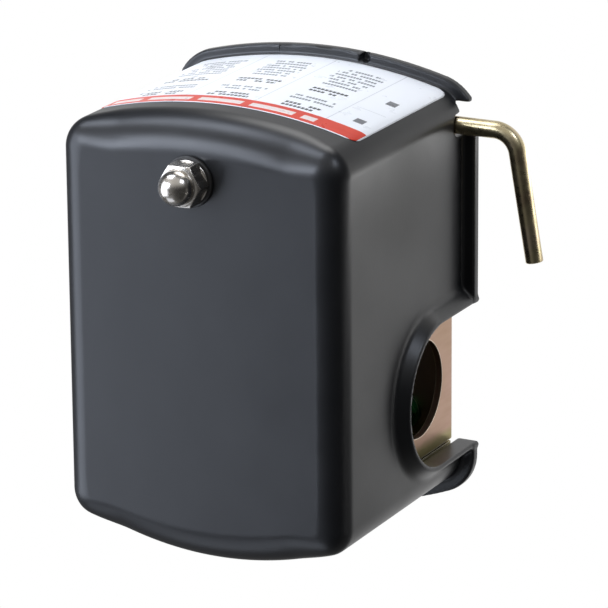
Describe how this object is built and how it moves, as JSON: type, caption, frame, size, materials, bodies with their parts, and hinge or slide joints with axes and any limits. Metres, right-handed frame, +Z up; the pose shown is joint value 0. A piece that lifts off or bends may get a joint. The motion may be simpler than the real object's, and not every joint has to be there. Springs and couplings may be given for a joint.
{
  "type": "pressure switch",
  "caption": "Pump pressure switch: bowed plastic cover held by a cap nut, steel frame with side conduit holes, cut-off lever, springs, contacts and a threaded port below.",
  "frame": {"origin": "centre of the threaded pressure port's mouth, at the lowest face of the switch", "axes": "+Z up along the pressure port and the cap nut's stud, towards the cover's top; -Y towards the labelled face; -X towards the lever arm"},
  "size_m": [0.0914, 0.1065, 0.0892],
  "materials": {
    "cover_plastic": "moulded charcoal plastic, fine satin grain",
    "zinc_frame": "yellow passivated zinc, iridescent",
    "zinc_yellow": "olive-gold passivated zinc",
    "zinc_plain": "bright zinc",
    "nickel": "bright nickel",
    "spring_steel": "drawn spring steel",
    "brass": "satin",
    "rubber_black": "matte rubber",
    "washer_black": "matte black",
    "nylon": "natural nylon",
    "phenolic_black": "moulded phenolic",
    "phenolic_brown": "moulded phenolic",
    "green_screw": "green earth screw",
    "label": "printed film sticker"
  },
  "bodies": {
    "housing": {"frame": "zinc_frame", "pressure_flange": "zinc_plain", "diaphragm": "rubber_black", "flange_screws": "zinc_plain", "range_stud": "zinc_plain", "differential_stud": "zinc_plain", "plate_pin": "zinc_plain", "contact_block": "phenolic_black", "block_screws": "zinc_plain", "terminal_plates": "brass", "terminal_clamps": "zinc_plain", "terminal_screws": "zinc_plain", "ground_screws": "green_screw", "carrier_pin": "zinc_plain"},
    "actuator": {"actuator_plate": "zinc_plain"},
    "piston": {"plunger": "nylon"},
    "carrier": {"contact_carrier": "phenolic_brown", "moving_contacts": "brass", "contact_springs": "spring_steel", "toggle_spring": "spring_steel"},
    "range_follower": {"range_seat": "zinc_plain", "range_spring": "spring_steel"},
    "range_adjuster": {"range_nut": "zinc_yellow"},
    "differential_follower": {"differential_seat": "zinc_plain", "differential_spring": "spring_steel"},
    "differential_adjuster": {"differential_nut": "zinc_yellow"},
    "lever": {"cutoff_lever": "zinc_yellow", "lever_rings": "spring_steel"},
    "cover_body": {"cover": "cover_plastic", "cover_label": "label"},
    "cap_washer": {"cap_nut_washer": "washer_black"},
    "cap": {"cap_nut": "nickel"}
  },
  "joints": [
    {"name": "plate_pivot", "type": "hinge", "parent": "housing", "child": "actuator", "pos_m": [0, 0.012, 0.0265], "axis": [-1, 0, 0], "range_deg": [0, 2.2]},
    {"name": "piston_slide", "type": "slide", "parent": "housing", "child": "piston", "axis": [0, 0, 1], "range_m": [0, 0.00048]},
    {"name": "carrier_pivot", "type": "hinge", "parent": "housing", "child": "carrier", "pos_m": [0, 0.011, 0.0435], "axis": [-1, 0, 0], "range_deg": [0, 12.1], "deforming": ["toggle_spring"]},
    {"name": "range_follow", "type": "slide", "parent": "housing", "child": "range_follower", "axis": [0, 0, 1], "range_m": [-0.00476, 0.00318], "deforming": ["range_spring"]},
    {"name": "range_turn", "type": "hinge", "parent": "range_follower", "child": "range_adjuster", "pos_m": [0.00134, -0.0303, 0.063], "axis": [0, 0, 1], "range_deg": [-2175, 1455]},
    {"name": "differential_follow", "type": "slide", "parent": "housing", "child": "differential_follower", "axis": [0, 0, 1], "range_m": [-0.00318, 0.00238], "deforming": ["differential_spring"]},
    {"name": "differential_turn", "type": "hinge", "parent": "differential_follower", "child": "differential_adjuster", "pos_m": [0, -0.0148, 0.049], "axis": [0, 0, 1], "range_deg": [-1455, 1095]},
    {"name": "lever_turn", "type": "hinge", "parent": "housing", "child": "lever", "pos_m": [0, -0.03275, 0.0219], "axis": [1, 0, 0], "range_deg": [-25, 25]},
    {"name": "cover_lift", "type": "slide", "parent": "housing", "child": "cover_body", "axis": [0, 0, 1], "range_m": [0, 0.075]},
    {"name": "cap_rise", "type": "slide", "parent": "cover_body", "child": "cap_washer", "axis": [0, 0, 1], "range_m": [0, 0.00476]},
    {"name": "cap_turn", "type": "hinge", "parent": "cap_washer", "child": "cap", "pos_m": [0.00134, -0.0303, 0.082], "axis": [0, 0, 1], "range_deg": [0, 2175]}
  ],
  "couplings": [
    {"joint": "piston_slide", "follows": "plate_pivot", "m_per_rad": 0.01197},
    {"joint": "carrier_pivot", "follows": "plate_pivot", "ratio": 5.45},
    {"joint": "range_turn", "follows": "range_follow", "rad_per_m": 7913.3},
    {"joint": "differential_turn", "follows": "differential_follow", "rad_per_m": 7913.3},
    {"joint": "cap_turn", "follows": "cap_rise", "rad_per_m": 7913.3}
  ]
}
